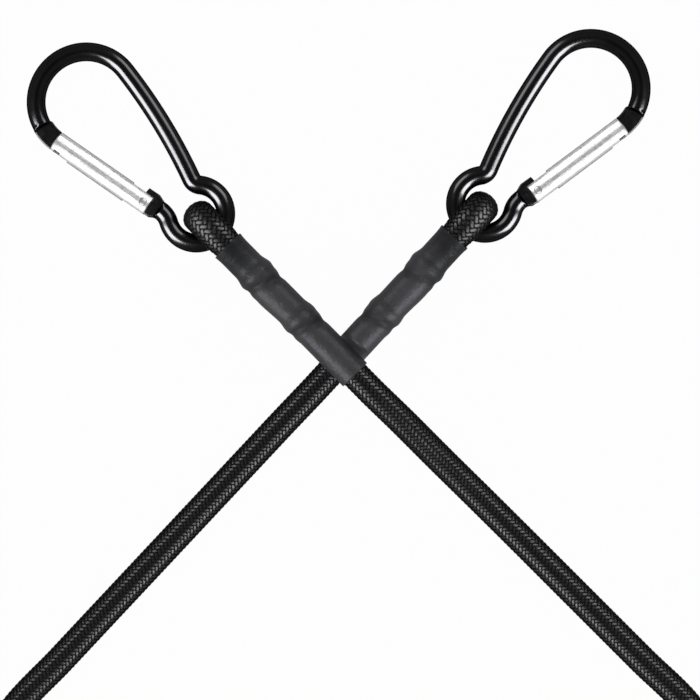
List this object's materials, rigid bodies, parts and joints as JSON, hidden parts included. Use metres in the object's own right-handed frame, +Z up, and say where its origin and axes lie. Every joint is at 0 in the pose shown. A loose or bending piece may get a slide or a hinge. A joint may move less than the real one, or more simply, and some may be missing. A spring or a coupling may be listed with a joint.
{
  "type": "bungee cord",
  "caption": "Braided elastic cord looped, crimped and sleeved at each end round the eye of a pear-shaped snap hook with a sprung gate.",
  "frame": {"origin": "on the surface that the cord lies on, under the middle of the bounding box of everything but the free cord", "axes": "+X from the left end to the right end as pictured, +Y towards the hooks, +Z up, towards the camera"},
  "size_m": [0.2448, 0.2881, 0.0239],
  "materials": {
    "braid": "matte braided",
    "latex": "matte",
    "shrink_tube": "satin",
    "black_frame": "gloss",
    "polished_gate": "polished",
    "steel_pin": "satin",
    "steel_wire": "satin"
  },
  "bodies": {
    "cord": {"left_loop_sheath": "braid", "left_loop_core": "latex", "left_crimp_ring_near_hook": "steel_wire", "left_crimp_ring_near_cord": "steel_wire", "left_heat_shrink_sleeve": "shrink_tube", "right_loop_sheath": "braid", "right_loop_core": "latex", "right_crimp_ring_near_hook": "steel_wire", "right_crimp_ring_near_cord": "steel_wire", "right_heat_shrink_sleeve": "shrink_tube", "cord_sheath": "braid", "cord_core": "latex"},
    "left_hook": {"left_hook_frame": "black_frame", "left_nose_pin": "steel_pin"},
    "left_gate": {"left_gate": "polished_gate", "left_gate_rivet": "steel_pin", "left_gate_spring": "steel_wire"},
    "left_plunger": {"left_gate_plunger": "steel_pin"},
    "right_hook": {"right_hook_frame": "black_frame", "right_nose_pin": "steel_pin"},
    "right_gate": {"right_gate": "polished_gate", "right_gate_rivet": "steel_pin", "right_gate_spring": "steel_wire"},
    "right_plunger": {"right_gate_plunger": "steel_pin"}
  },
  "joints": [
    {"name": "left_hook_swing", "type": "hinge", "parent": "cord", "child": "left_hook", "pos_m": [-0.03822, -0.00862, 0.01206], "axis": [-0.712, -0.7021, 0], "range_deg": [-75, 75]},
    {"name": "left_gate_hinge", "type": "hinge", "parent": "left_hook", "child": "left_gate", "pos_m": [-0.06127, 0.00147, 0.00925], "axis": [0.084, -0.0852, -0.9928], "range_deg": [0, 28], "stiffness_Nm_per_rad": 0.04, "springref_deg": -22.92},
    {"name": "left_plunger_slide", "type": "slide", "parent": "left_gate", "child": "left_plunger", "axis": [-0.8156, 0.5666, -0.1177], "range_m": [0, 0.0008], "deforming": ["left_gate_spring"]},
    {"name": "right_hook_swing", "type": "hinge", "parent": "cord", "child": "right_hook", "pos_m": [0.03971, -0.00579, 0.01206], "axis": [0.7361, -0.6769, 0], "range_deg": [-75, 75]},
    {"name": "right_gate_hinge", "type": "hinge", "parent": "right_hook", "child": "right_gate", "pos_m": [0.06239, 0.00509, 0.00925], "axis": [0.081, 0.0881, 0.9928], "range_deg": [0, 28], "stiffness_Nm_per_rad": 0.04, "springref_deg": -22.92},
    {"name": "right_plunger_slide", "type": "slide", "parent": "right_gate", "child": "right_plunger", "axis": [0.7953, 0.5947, -0.1177], "range_m": [0, 0.0008], "deforming": ["right_gate_spring"]}
  ],
  "couplings": [
    {"joint": "left_plunger_slide", "follows": "left_gate_hinge", "m_per_rad": 0.00163},
    {"joint": "right_plunger_slide", "follows": "right_gate_hinge", "m_per_rad": 0.00163}
  ]
}
